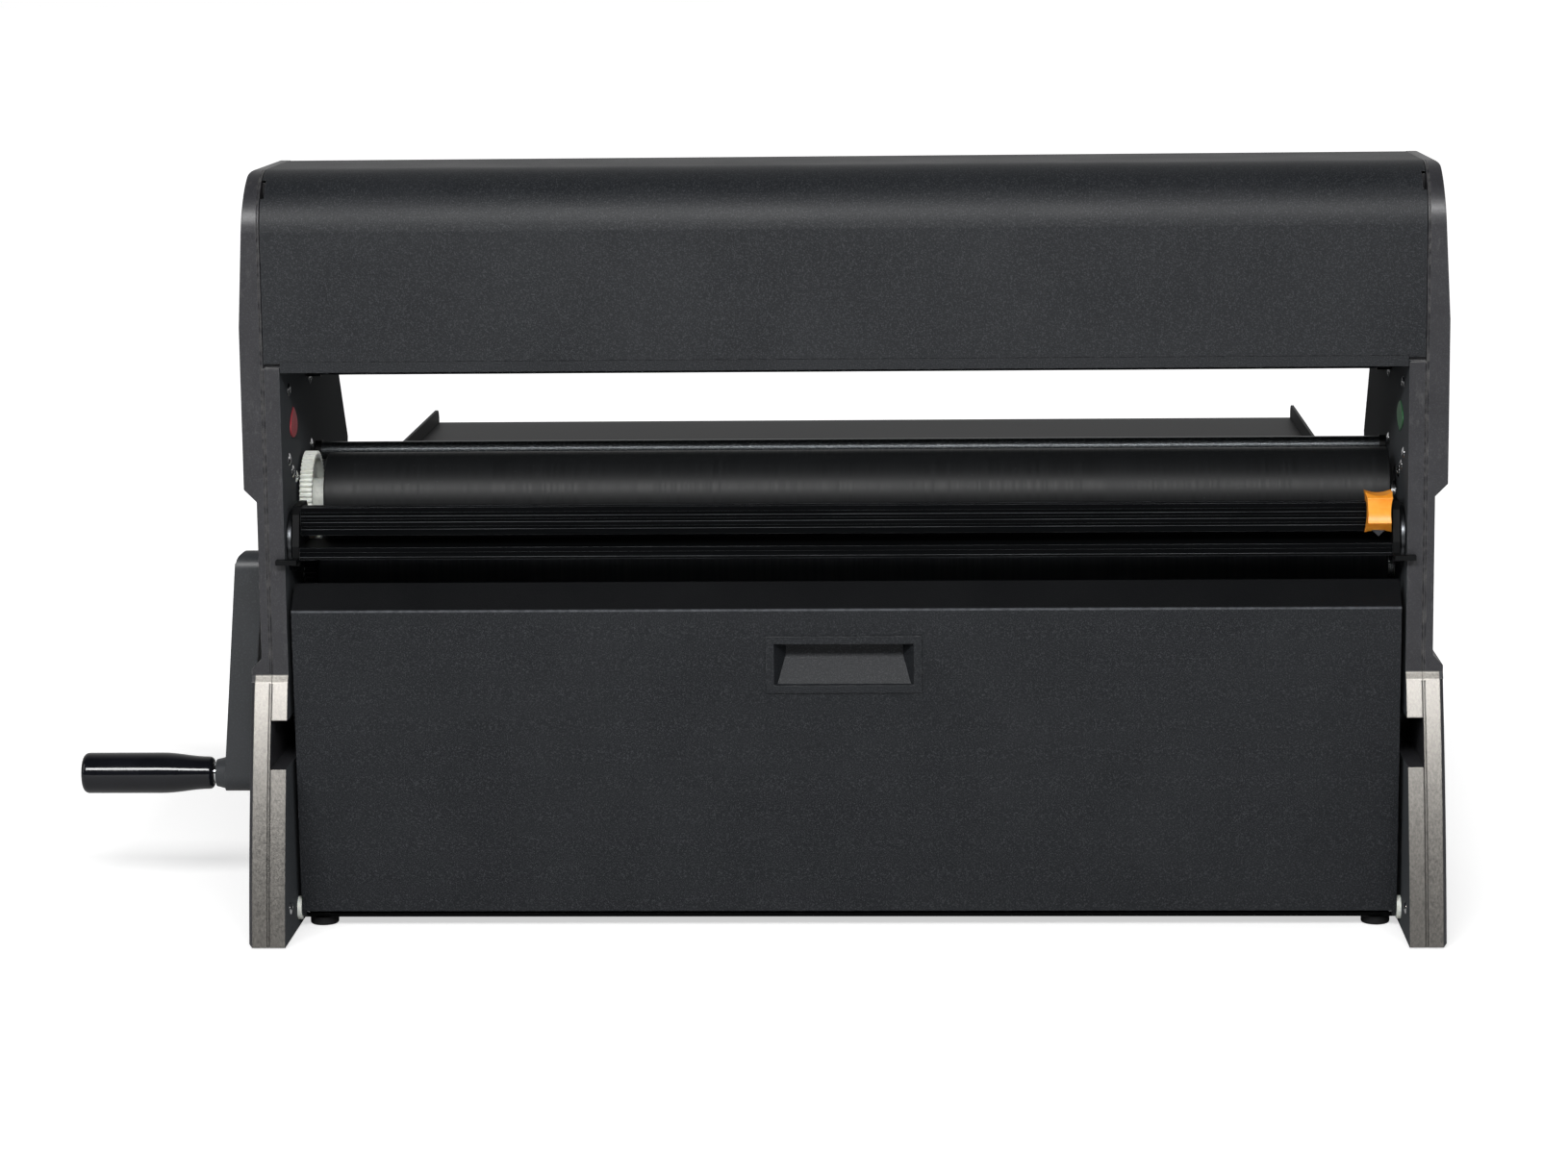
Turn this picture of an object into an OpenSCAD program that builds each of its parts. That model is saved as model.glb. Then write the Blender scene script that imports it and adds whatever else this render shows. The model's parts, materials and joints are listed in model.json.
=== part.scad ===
// Wide hand-cranked cold laminator, seen from its exit side along +Y.
// X runs along the rollers, Y from the exit side to the feed side, Z up from the table.
// Lengths are millimetres. Inside the modules Y = 0 is the front of the end frames' feet
// and X = 0 is half way between the frames; placed() moves that to the row origin, the
// middle of the footprint on the table.

/* [Overall] */
// Clear width between the two inner walls
wall_gap = 713; // [600:1:860]
// Height of the end frames above the table
frame_height = 491.5; // [410:0.5:600]
// Gap left between the end frames and the table
frame_lift = 1; // [0.5:0.5:3]

/* [End frames] */
// Thickness of each inner shell
inner_wall = 10.5; // [8.5:0.5:14]
// Thickness of each outer shell where it bulges
outer_wall = 14.5; // [12:0.5:18]
// Thickness of each outer shell at its foot
foot_wall = 13; // [11:0.5:16]
// Thickness of each outer shell at its waist
waist_wall = 6.5; // [4:0.5:9]
// Height where the waist starts
waist_low_z = 174; // [150:1:185]
// Height where the waist ends
waist_high_z = 290; // [270:1:300]
// How far the outer shell tapers inwards at the roof
taper_setback = 4.8; // [1:0.1:7]
// Height that the taper takes up below the roof
taper_height = 98; // [50:1:110]
// Rounding of the outer shells' upper edges
shell_edge_r = 4; // [1:0.5:6]
// Bevel of the outer shells' lower edges
foot_bevel = 2; // [1:0.5:4]
// Chamfer along the outer edge of each curved front
foot_chamfer = 2.2; // [1:0.1:4]
// Height of the curved front of each foot
foot_top_z = 165.5; // [150:0.5:172]
// How far the curved front leans back over that height
foot_setback = 41; // [20:1:42]
// How far below the frame the centre of that curve lies
foot_drop = 133; // [60:1:200]
// Height of the ledge between the curved front and the upright front
ledge_rise = 4; // [2:1:8]
// Y of the upright front of frames and cover
front_y = 43.5; // [42:0.5:50]
// Y of the ridge where the roof meets the rear slope
ridge_y = 178; // [170:1:190]
// Y of the chin at the foot of the rear slope
chin_y = 335; // [310:1:345]
// Height of the chin
chin_z = 286; // [280:1:300]
// Rounding of the chin
chin_r = 7; // [4:1:9]
// Y of the rear of the frames below the chin
neck_y = 290; // [286:1:300]
// Y of the rear of the feet of the frames
rear_foot_y = 302; // [292:1:310]
// Height where the rear of the foot starts to widen
rear_flare_z = 176; // [150:1:190]
// Height and width of the opening of the film core slots
core_slot_w = 30; // [20:1:36]
// Height of the lower core slot above the table
lower_slot_z = 127; // [110:0.5:140]
// Y of the seat of both film cores
core_seat_y = 104; // [90:1:110]

/* [Top cover] */
// Height of the lower edge of the cover
cover_base_z = 364.5; // [355:0.5:375]
// Thickness of the cover
cover_t = 3; // [2:0.25:4]
// Rounding of the cover between front and roof
crown_r = 38; // [20:1:45]
// Height of the step that clears the inner shells
cover_notch = 3; // [2:0.5:6]
// Gap between that step and the top of the inner shells
notch_gap = 3; // [0.5:0.5:5]
// Radius of the bead that the cover turns on
bead_r = 5; // [4.5:0.5:7]
// Length of the relief slots at the cover's ends
relief_len = 11; // [4:0.5:14]
// Depth of the stiffening ribs inside the cover
cover_rib = 12; // [6:1:20]

/* [Lower door] */
// Gap between each end of the door and the inner wall
door_gap = 3; // [2:0.5:6]
// Wall thickness of the door
door_t = 2.5; // [2:0.25:4]
// Height of the door's lower edge
door_base_z = 12.5; // [11:0.5:14]
// Height of the crease at the top of the door's front
door_crease_z = 211; // [190:1:215]
// Width and height of the sloping top of the door
door_slope = 16; // [8:0.5:18]
// How far the door's front leans back at its lower edge
door_lean = 8.5; // [0:0.5:9]
// Height of the door's hinge axis
door_pin_z = 13.5; // [13:0.5:18]
// Distance of the hinge axis behind the door's crease
door_pin_back = 14.5; // [14.5:0.5:17]
// Width of the pull cup's bezel
cup_w = 99.5; // [70:0.5:140]
// Height of the pull cup's bezel
cup_h = 37; // [30:0.5:50]
// Height of the middle of the pull cup
cup_z = 175.5; // [120:0.5:180]
// Width of the bezel's rim
cup_rim = 5; // [3:0.5:7]
// Depth of the pull cup behind the door's front
cup_depth = 15; // [10:0.5:16]

/* [Rollers] */
// Y of both roller axes
roller_y = 125; // [120:1:135]
// Height of the nip between the rollers
nip_z = 244; // [240:1:250]
// Radius of the upper rubber roller
upper_roller_r = 29.5; // [26:0.5:31]
// Diameter of the roller shafts
shaft_d = 16; // [12:0.5:18]
// Gap left between the two rollers with no sheet in the nip
nip_gap = 0.3; // [0.3:0.1:2]

/* [Gears] */
// Number of teeth of the white upper gear
upper_teeth = 56; // [48:1:64]
// Number of teeth of the pinion on the crank's shaft
pinion_teeth = 32; // [28:1:40]
// Face width of both gears
gear_w = 8; // [5:0.5:9]
// Play between the teeth at the pitch circle
backlash = 0.2; // [0.1:0.05:0.4]

/* [Crank] */
// Distance from the crank's axis to the grip's axis
crank_r = 137.8; // [110:0.1:150]
// How far the arm leans outwards over that distance
crank_lean = 12.3; // [6:0.1:16]
// Thickness of the arm at its hub
arm_t = 19.5; // [16:0.1:22]
// Radius of the arm's hub end
arm_hub_r = 11.5; // [11.5:0.5:20]
// Radius of the arm's grip end
arm_tip_r = 12; // [9:0.5:14]
// Length of the grip
grip_len = 88.5; // [70:0.5:110]
// Diameter of the grip at its full part
grip_d = 27; // [24:0.5:32]
// Diameter of the grip at its neck
grip_neck_d = 21.6; // [18:0.2:23]
// Diameter of the grip's spindle
spindle_d = 8; // [6:0.5:9]

/* [Cutter] */
// Y of the front of the cutter rail
rail_y = 58; // [56:1:60]
// Depth of the cutter rail
rail_depth = 12; // [11:0.5:20]
// Height of the underside of the cutter rail
rail_z = 258.2; // [256:0.2:262]
// Height of the cutter rail's section
rail_h = 18; // [17:0.1:24]
// Height of the exit slot between bed and rail
exit_slot = 6.9; // [6:0.1:10]
// Height of the cutter bed's section
bed_h = 7.6; // [5:0.1:9]
// Y of the front of the cutter bed
bed_y = 50; // [49:1:54]
// Width of the orange slider
slider_w = 17.2; // [14:0.1:24]
// Height of the orange slider
slider_h = 26.2; // [24:0.1:30]
// Radius of the steel discs at the ends of the cutter
disc_r = 20; // [14:0.5:20]

/* [Rods] */
// Diameter of both cross rods
rod_d = 12; // [8:0.5:14]
// Y of the upper chromed rod
upper_rod_y = 152; // [146:1:160]
// Height of the upper chromed rod
upper_rod_z = 357.5; // [345:0.5:358]
// Y of the lower guide rod
guide_rod_y = 185; // [180:1:200]
// Height of the lower guide rod
guide_rod_z = 297; // [295:1:310]

/* [Feed side] */
// Half of the width of the feed tray
tray_half = 329; // [280:1:340]
// Length of the feed tray from its hinge to its far edge
tray_len = 347; // [250:1:420]
// Height of the top of the feed tray
tray_z = 262; // [260:0.5:264]
// Y of the feed tray's hinge
tray_pin_y = 280; // [276:1:283]
// Diameter of the tube along the feed tray's hinge
tray_tube_d = 12; // [10:0.5:13]
// Height of the tray's side fences above the tray
fence_rise = 10.5; // [6:0.5:12]
// Thickness of the tray, table and fence sheet
sheet_t = 2; // [1.5:0.25:3]

/* [Base and feet] */
// Height of the rubber feet
foot_h = 5.6; // [5:0.1:8]
// Diameter of the rubber feet
foot_d = 18.5; // [14:0.5:20]
// Distance of each foot's middle from the inner wall
foot_inset = 14.6; // [11:0.2:30]
// Y of the front pair of feet
front_foot_y = 72; // [72:1:90]
// Thickness of the base plate
base_t = 2.5; // [1.5:0.25:3]

/* [Fits] */
// Gap round a shaft that runs in a bore, measured on the radius
run_fit = 0.05; // [0.02:0.01:0.1]
// Gap round a piece that is fixed on a shaft, measured on the radius
seat_fit = 0.02; // [0.01:0.01:0.05]
// Gap between pieces that lie beside each other
part_gap = 0.3; // [0.2:0.05:0.5]

/* [Hidden] */

$fn = 96;
// Circles large enough to need more sides
fine_fn = 240;
// Length by which cutters pass the faces that they cut
cut = 1;

charcoal = "#2E3135";
shell_grey = "#3F4043";
dark_grey = "#3C3E41";
soft_black = "#17181A";
deep_black = "#0E0F10";
steel = "#B9BCBF";
chrome_grey = "#D5D8DB";
gear_white = "#C8CBC6";
slider_orange = "#FFA528";
mark_red = "#B5343F";
mark_green = "#2F6B41";

// Half widths, from the middle of the machine outwards
inner_x = wall_gap / 2;
seam_x = inner_x + inner_wall;
outer_x = seam_x + outer_wall;
foot_x = seam_x + foot_wall;
waist_x = seam_x + waist_wall;
cover_x = seam_x - 0.5;

// Rear slope of the end frames
slope_rise = frame_height - chin_z;
slope_run = chin_y - ridge_y;
slope_len = sqrt(slope_rise * slope_rise + slope_run * slope_run);
slope_angle = atan2(slope_rise, slope_run);
cover_seat_z = cover_base_z + cover_notch;
cover_inset = cover_t + 1;
upper_slot_z = (cover_seat_z + frame_height) / 2;

// Curved front of the feet, through the frame's lower front corner
curve_rise = foot_top_z - frame_lift;
foot_centre_y = (foot_setback * foot_setback + curve_rise * curve_rise
    + 2 * curve_rise * foot_drop) / (2 * foot_setback);
foot_centre_z = frame_lift - foot_drop;
foot_arc_r = sqrt(foot_centre_y * foot_centre_y + foot_drop * foot_drop);

// Fine grooves along the seam and in the outer shells
groove_w = 0.5;
groove_depth = 0.6;
groove_x = seam_x + 1;

// Relief slots at the ends of the top cover and the pockets behind them
relief_z = frame_height - 17;
relief_w = 2.5;
relief_depth = 22;

// Bead that the top cover turns on, along the ridge
bead_y = ridge_y - bead_r;
bead_z = frame_height - bead_r;
hinge_pin_d = 6;
pin_depth = 9;
bead_pin_x = cover_x - pin_depth;
bead_pin_end_x = seam_x + 5;

// Gears and rollers: the pitch circles touch, and so nearly do the rollers
roller_share = pinion_teeth / upper_teeth;
lower_roller_r = upper_roller_r * roller_share;
axis_gap = upper_roller_r + lower_roller_r + nip_gap;
upper_axis_z = nip_z + nip_gap / 2 + upper_roller_r;
lower_axis_z = upper_axis_z - axis_gap;
gear_module = 2 * axis_gap / (upper_teeth + pinion_teeth);
pressure_angle = 20;
gear_side_gap = 2.1;
gear_x = inner_x - gear_side_gap;
hub_r = 12.8;
hub_len = 6.9;
web_t = 4;
sleeve_left_x = gear_x - gear_w - hub_len - 0.5;
sleeve_right_x = inner_x - 5;
lower_sleeve_left_x = gear_x - gear_w - 1;

// Upper bearing block in its pocket, and the spring above it
block_w = 26;
block_web = 4.5;
block_t = inner_wall - block_web;
block_x = seam_x - block_t;
block_fit = 0.1;
roller_rise = 8;
spring_room = 33.7;
pocket_top_z = upper_axis_z + block_w / 2 + spring_room;
spring_wire_r = 0.8;
spring_turns = 6;
bush_d = shaft_d + 8;

// Crank
arm_clearance = 1.2;
arm_face_x = outer_x + arm_clearance;
arm_end_x = arm_face_x + crank_lean;
arm_tip_t = 17.3;
boss_r = 11.3;
boss_end_r = 9;
boss_len = 7;
boss_x = arm_end_x + arm_tip_t;
ferrule_d = 12.5;
ferrule_t = 1.6;
ferrule_x = boss_x + boss_len;
grip_x = ferrule_x + ferrule_t + part_gap;
grip_end_x = grip_x + grip_len;
grip_z = lower_axis_z - crank_r;
screw_head_d = 15;
screw_head_t = 4.5;
screw_shank_d = 6;
screw_shank_len = 15;
screw_sink = 2;
shaft_end_x = arm_face_x + arm_t - screw_sink - screw_head_t;

// Door
door_x = inner_x - door_gap;
door_y = front_y - 0.5;
door_pin_y = door_y + door_pin_back;
door_back_y = door_y + door_slope + 2;
door_top_z = door_crease_z + door_slope;
door_lean_angle = atan2(door_lean, door_crease_z - door_base_z);
door_heel = 7;
door_ear_r = 5.5;
washer_d = 15;

// Cutter
bracket_t = 4.5;
disc_t = 3.4;
bracket_x = inner_x - part_gap / 2 - disc_t - part_gap - bracket_t;
rail_end_x = bracket_x - 0.1;
rail_top_z = rail_z + rail_h;
bed_top_z = rail_z - exit_slot;
bed_z = bed_top_z - bed_h;
disc_y = bed_y + disc_r;
disc_z = bed_top_z + 2.3;
slider_x = bracket_x - part_gap - slider_w / 2;
slider_depth = 13;
slider_front_y = rail_y - slider_depth;
slider_z = rail_z - 0.8;
slider_face_z = slider_z + 7.4;
slider_face_h = 16;
tee_y = rail_y + rail_depth / 2;
tee_neck_w = 4;
tee_w = 7;
tee_h = 3;
tee_floor_z = rail_top_z - 8.7;
bridge_y = tee_y + tee_neck_w / 2;
bridge_z = rail_top_z + part_gap;
bed_far_y = roller_y - 31;
blade_half = 4.5;
blade_t = 0.6;
blade_y = rail_y - 4.6;
blade_top_z = slider_z + 11.5;
blade_tip_z = rail_z - 3;
blade_fit = 0.05;

// Sockets that hold the rods at the walls
upper_socket_len = 9.8;
guide_socket_len = 4.4;
socket_wall = 1;

// Film marks: a drop on the left wall, a lens on the right wall
mark_w = 34;
mark_h = 19.5;
mark_y = 93;
mark_z = 327.5;
mark_t = 0.6;

// Feed side
tray_pin_z = tray_z - tray_tube_d / 2;
tray_far_y = tray_pin_y + tray_len;
tray_hinge_gap = 8;
tray_edge_h = 9;
table_far_y = tray_pin_y - tray_tube_d / 2 - tray_hinge_gap;
table_near_y = roller_y + 27;
table_rise = 2;
table_bend = 34;
table_side_h = 20;
panel_y = tray_pin_y - 18;
panel_flange = 22;
rear_foot_row_y = rear_foot_y - 22;
base_side_h = 24;
base_side_back = 13;

// Side fences of the tray and their screws
fence_screw_y = [tray_pin_y + 50, tray_pin_y + tray_len / 2, tray_far_y - 40];
fence_screw_z = tray_z - 4;
fence_x = tray_half + 0.1;
fence_low_z = tray_z - 8;

// Wall screws as [y, z], and their size
WALL_SCREWS = [[76.5, 350.5], [164, 348.5], [163, 304], [71, 306], [83.5, 296.5], [98, 291], [24, 21]];
head_d = 8;
head_t = 1.6;
head_dome_r = 7.2;
shank_d = 4;
shank_len = 4;

// Box of the whole machine, from which the row origin is taken
left_end_x = -grip_end_x;
right_end_x = outer_x;
row_mid_x = (left_end_x + right_end_x) / 2;
row_mid_y = tray_far_y / 2;

// Points along an arc, from angle a to angle b
function arc(centre, r, a, b, steps) =
    [for (i = [0:steps]) let (t = a + (b - a) * i / steps) centre + r * [cos(t), sin(t)]];

// Y of the rear slope at height z, taken inwards by an inset
function slope_y(z, inset) =
    ridge_y + (frame_height - z) * slope_run / slope_rise - inset * slope_len / slope_rise;

// Moves the machine so that the middle of its footprint is the origin
module placed() {
    translate([-row_mid_x, -row_mid_y, 0]) children();
}

// Draws a right-hand piece, or its mirror image on the left
module sided(side) {
    if (side > 0) {
        children();
    } else {
        mirror([1, 0, 0]) children();
    }
}

// Extrudes a (y, z) outline from x0 to x1
module along_x(x0, x1) {
    translate([x0, 0, 0]) rotate([90, 0, 90]) linear_extrude(x1 - x0) children();
}

// Extrudes an (x, z) outline from y0 to y1
module along_y(y0, y1) {
    translate([0, y1, 0]) rotate([90, 0, 0]) linear_extrude(y1 - y0) children();
}

// Round bar along X
module bar_x(x0, x1, y, z, d) {
    translate([x0, y, z]) rotate([0, 90, 0]) cylinder(h = x1 - x0, d = d);
}

// What a rounding takes off a square corner; sx and sy point into the material
module corner_cut(x, y, r, sx, sy) {
    difference() {
        translate([sx > 0 ? x - cut : x - r, sy > 0 ? y - cut : y - r]) square(r + cut);
        translate([x + sx * r, y + sy * r]) circle(r = r);
    }
}

// Rectangle given by its lowest and highest corners
module rect(x0, y0, x1, y1) {
    translate([x0, y0]) square([x1 - x0, y1 - y0]);
}

// Outline of the roof and rear slope above z0, taken inwards by an inset
module crown_outline(inset, z0) {
    y0 = front_y + inset;
    top = frame_height - inset;
    difference() {
        polygon([[y0, z0], [y0, top], [slope_y(top, inset), top], [slope_y(z0, inset), z0]]);
        corner_cut(y0, top, crown_r - inset, 1, -1);
    }
}

// Side outline of an end frame; the inset leaves room for the covers above their seat
module frame_outline(inset) {
    chin_centre = [slope_y(chin_z + chin_r, 0) - chin_r, chin_z + chin_r / 2];
    difference() {
        union() {
            polygon(concat(
                [[-cut, frame_lift], [-cut, 0.7 * foot_top_z], [foot_setback, foot_top_z],
                 [front_y, foot_top_z + ledge_rise], [front_y, cover_seat_z],
                 [slope_y(cover_seat_z, 0), cover_seat_z]],
                arc(chin_centre, chin_r, slope_angle - 60, -50, 5),
                [[neck_y, chin_z - 6], [neck_y, rear_flare_z],
                 [rear_foot_y, rear_flare_z - 16], [rear_foot_y, frame_lift]]));
            crown_outline(inset, cover_seat_z - 2 * cut);
        }
        // Curved front of the foot
        difference() {
            rect(-2 * cut, frame_lift - cut, foot_setback, foot_top_z);
            translate([foot_centre_y, foot_centre_z]) circle(r = foot_arc_r, $fn = fine_fn);
        }
        corner_cut(rear_foot_y, frame_lift, 8, -1, 1);
    }
}

// Front outline of a right outer shell: foot, waist, bulge and tapered top
module shell_silhouette() {
    top_x = outer_x - taper_setback;
    difference() {
        polygon([[seam_x, frame_lift], [foot_x - foot_bevel, frame_lift],
                 [foot_x, frame_lift + foot_bevel], [foot_x, waist_low_z],
                 [waist_x, waist_low_z + (foot_x - waist_x)],
                 [waist_x, waist_high_z - (outer_x - waist_x)],
                 [outer_x, waist_high_z], [outer_x, frame_height - taper_height],
                 [top_x, frame_height - shell_edge_r], [top_x, frame_height],
                 [seam_x, frame_height]]);
        corner_cut(top_x, frame_height, shell_edge_r, -1, -1);
    }
}

// What a fine groove takes off the near outline below the covers
module low_groove() {
    rect(front_y - cut, foot_top_z + ledge_rise + cut, front_y + groove_depth, cover_seat_z - cut);
    difference() {
        rect(-2 * cut, frame_lift - cut, foot_setback, foot_top_z - cut);
        translate([foot_centre_y + groove_depth, foot_centre_z])
            circle(r = foot_arc_r, $fn = fine_fn);
    }
}

// The same round the front, the roof and the rear slope
module high_groove() {
    difference() {
        crown_outline(-cut, cover_seat_z - 2 * cut);
        crown_outline(groove_depth, cover_seat_z - 3 * cut);
    }
}

// What the chamfer takes off the outer edge of the curved front
module foot_edge_cut() {
    clear = 0.5;
    x0 = foot_x - foot_chamfer - clear;
    width = foot_chamfer + clear + cut;
    difference() {
        translate([x0, -2 * cut, frame_lift - cut])
            cube([width, front_y + 2 * cut, foot_top_z - frame_lift + cut]);
        translate([x0 - cut, foot_centre_y, foot_centre_z]) rotate([0, 90, 0])
            cylinder(h = width + 2 * cut, r1 = foot_arc_r + clear + cut,
                     r2 = foot_arc_r + clear - width - cut, $fn = fine_fn);
    }
}

// Outer shell of an end frame, hollowed behind its two bulges
module outer_shell(with_shaft_hole) {
    skin = 5;
    rim = 14;
    difference() {
        intersection() {
            along_x(seam_x, outer_x) frame_outline(0);
            along_y(-cut, chin_y + cut) shell_silhouette();
        }
        // Both hollows end below a core slot, whose cores meet solid walls
        along_x(seam_x - cut, outer_x - skin) rect(
            front_y + 2 * rim, waist_high_z + rim, ridge_y - rim, upper_slot_z - core_slot_w);
        along_x(seam_x - cut, foot_x - skin) rect(
            front_y + rim, frame_lift + rim, rear_foot_y - rim, lower_slot_z - core_slot_w);
        along_x(groove_x, groove_x + groove_w) union() {
            low_groove();
            high_groove();
        }
        foot_edge_cut();
        bar_x(bead_pin_x, bead_pin_end_x, bead_y, bead_z, hinge_pin_d + 2 * seat_fit);
        if (with_shaft_hole) {
            bar_x(seam_x - cut, outer_x + cut, roller_y, lower_axis_z, shaft_d + 4);
        }
    }
}

// Open slot for a film core, from the front edge to its round seat
module core_slot_outline(z) {
    circle_y = core_seat_y;
    rect(-cut, z - core_slot_w / 2, circle_y, z + core_slot_w / 2);
    translate([circle_y, z]) circle(d = core_slot_w);
}

// Inner shell of an end frame with its core slots, bearing seats and pin holes
module inner_shell() {
    slot_w = shaft_d + 1.2;
    difference() {
        along_x(inner_x, seam_x) frame_outline(cover_inset);
        along_x(inner_x - cut, seam_x + cut) core_slot_outline(lower_slot_z);
        along_x(inner_x - cut, seam_x + cut) intersection() {
            core_slot_outline(upper_slot_z);
            rect(0, cover_seat_z, chin_y, frame_height);
        }
        bar_x(inner_x - cut, seam_x + cut, bead_y, bead_z, 2 * bead_r + 3);
        bar_x(inner_x - cut, seam_x + cut, roller_y, lower_axis_z, bush_d + 2 * seat_fit);
        // Pocket of the bearing block, and the slot that the shaft rises in
        along_x(block_x - block_fit, seam_x + cut) rect(
            roller_y - block_w / 2 - block_fit, upper_axis_z - block_w / 2 - block_fit,
            roller_y + block_w / 2 + block_fit, pocket_top_z);
        along_x(inner_x - cut, block_x) union() {
            rect(roller_y - slot_w / 2, upper_axis_z, roller_y + slot_w / 2,
                 upper_axis_z + roller_rise);
            translate([roller_y, upper_axis_z]) circle(d = slot_w);
            translate([roller_y, upper_axis_z + roller_rise]) circle(d = slot_w);
        }
        // Dark pocket behind the cover's relief slot, and the groove along the seam
        along_x(cover_x - relief_w - part_gap, seam_x + cut) rect(
            front_y, relief_z - part_gap, front_y + relief_depth, relief_z + relief_len + part_gap);
        along_x(seam_x - groove_w, seam_x + cut) low_groove();
        bar_x(inner_x - cut, inner_x + pin_depth, door_pin_y, door_pin_z, hinge_pin_d + 2 * seat_fit);
        bar_x(inner_x - cut, inner_x + pin_depth, tray_pin_y, tray_pin_z, hinge_pin_d + 2 * seat_fit);
        for (s = WALL_SCREWS) {
            bar_x(inner_x - cut, inner_x + shank_len + part_gap, s[0], s[1], shank_d + 2 * seat_fit);
        }
    }
}

module left_outer_shell() {
    color(shell_grey) placed() sided(-1) outer_shell(true);
}

module right_outer_shell() {
    color(shell_grey) placed() sided(1) outer_shell(false);
}

module left_inner_shell() {
    color(shell_grey) placed() sided(-1) inner_shell();
}

module right_inner_shell() {
    color(shell_grey) placed() sided(1) inner_shell();
}

// Folded base plate with upturned sides, between the inner shells
module base_plate() {
    x = inner_x - 0.2;
    y0 = door_pin_y + door_heel;
    y1 = rear_foot_y - 8;
    z1 = foot_h + base_side_h;
    color(soft_black) placed() difference() {
        translate([-x, y0, foot_h]) cube([2 * x, y1 - y0, z1 - foot_h]);
        translate([-x + base_t, y0 - cut, foot_h + base_t])
            cube([2 * (x - base_t), y1 - base_t - y0 + cut, z1]);
        // The sides start behind the door's washers
        translate([-x - cut, y0 - cut, foot_h + base_t])
            cube([2 * (x + cut), base_side_back + cut, z1]);
    }
}

// Four round rubber feet with a rounded lower edge
module feet() {
    r = foot_d / 2;
    edge = 1.5;
    color(deep_black) placed() for (sx = [-1, 1], y = [front_foot_y, rear_foot_row_y]) {
        translate([sx * (inner_x - foot_inset), y, 0]) rotate_extrude() difference() {
            square([r, foot_h]);
            corner_cut(r, 0, edge, -1, 1);
        }
    }
}

// Sheet that closes the lower bay on the feed side, with a folded top edge
module rear_panel() {
    x = inner_x - 0.2;
    z0 = foot_h + base_t;
    z1 = tray_pin_z - panel_flange;
    color(soft_black) placed() along_x(-x + base_t + 0.1, x - base_t - 0.1) union() {
        rect(panel_y, z0, panel_y + base_t, z1);
        rect(panel_y - panel_flange, z1 - base_t, panel_y + base_t, z1);
    }
}

// Fixed skin on the rear slope, from the ridge down to the covers' seat
module rear_cover() {
    z0 = cover_seat_z + part_gap;
    start_y = ridge_y + 1.6;
    color(charcoal) placed() along_x(-cover_x, cover_x) intersection() {
        difference() {
            crown_outline(0, z0);
            crown_outline(cover_t, z0 - cut);
            translate([bead_y, bead_z]) circle(r = bead_r + 0.6);
        }
        rect(start_y, z0, chin_y, frame_height);
    }
}

// Outline of the top cover's skin, from its lower edge over the crown to the bead
module cover_skin(depth) {
    difference() {
        crown_outline(0, cover_base_z);
        crown_outline(depth, cover_base_z - cut);
        rect(bead_y, 0, chin_y, frame_height + cut);
    }
}

// Hinged cover over the upper film bay
module top_cover() {
    lip_rise = 7;
    lip_depth = 0.5;
    rib_x = inner_x - 6;
    notch_x = inner_x - 0.5;
    color(charcoal) placed() difference() {
        union() {
            along_x(-cover_x, cover_x) cover_skin(cover_t);
            bar_x(-cover_x, cover_x, bead_y, bead_z, 2 * bead_r);
            for (x = [-rib_x, rib_x - cover_t]) {
                along_x(x, x + cover_t) cover_skin(cover_rib);
            }
        }
        for (sx = [-1, 1]) {
            // Steps over the top of the inner shells
            sided(sx) along_y(front_y - cut, front_y + cover_t + cut)
                rect(notch_x, cover_base_z - cut, cover_x + cut, cover_seat_z + notch_gap);
            // Relief slots at the ends of the crown
            sided(sx) along_y(front_y - cut, front_y + relief_depth)
                rect(cover_x - relief_w, relief_z, cover_x + cut, relief_z + relief_len);
            sided(sx) bar_x(bead_pin_x - 0.2, cover_x + cut, bead_y, bead_z,
                            hinge_pin_d + 2 * run_fit);
        }
        // Shallow lip along the front's lower edge
        along_x(-inner_x, inner_x)
            rect(front_y - cut, cover_base_z - cut, front_y + lip_depth, cover_base_z + lip_rise);
    }
}

// Pins that the top cover turns on, fixed in the outer shells
module cover_hinge_pins() {
    color(steel) placed() for (sx = [-1, 1]) {
        sided(sx) bar_x(bead_pin_x, bead_pin_end_x - 0.1, bead_y, bead_z, hinge_pin_d);
    }
}

// Leans the door's front back about its crease
module leaned() {
    translate([0, door_y, door_crease_z]) rotate([door_lean_angle, 0, 0])
        translate([0, -door_y, -door_crease_z]) children();
}

// Outline of the door's outside
module door_outline() {
    polygon([[door_y + door_lean, door_base_z], [door_y, door_crease_z],
             [door_y + door_slope, door_top_z], [door_back_y, door_top_z],
             [door_back_y, door_pin_z + 30], [door_pin_y + door_heel, door_pin_z + 20],
             [door_pin_y + door_heel, door_base_z]]);
}

// Outline of the hollow behind the door's front and below its top
module door_hollow() {
    rise = door_t * tan(22.5);
    far_y = door_back_y + 40;
    flange_y = door_y + door_lean + 5;
    y0 = door_y + door_t;
    z1 = door_top_z - door_t;
    polygon([[y0 + door_lean, door_base_z + door_t], [y0, door_crease_z - rise],
             [y0 + z1 - door_crease_z + rise, z1], [far_y, z1], [far_y, door_base_z - cut],
             [flange_y, door_base_z - cut], [flange_y, door_base_z + door_t]]);
}

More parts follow.
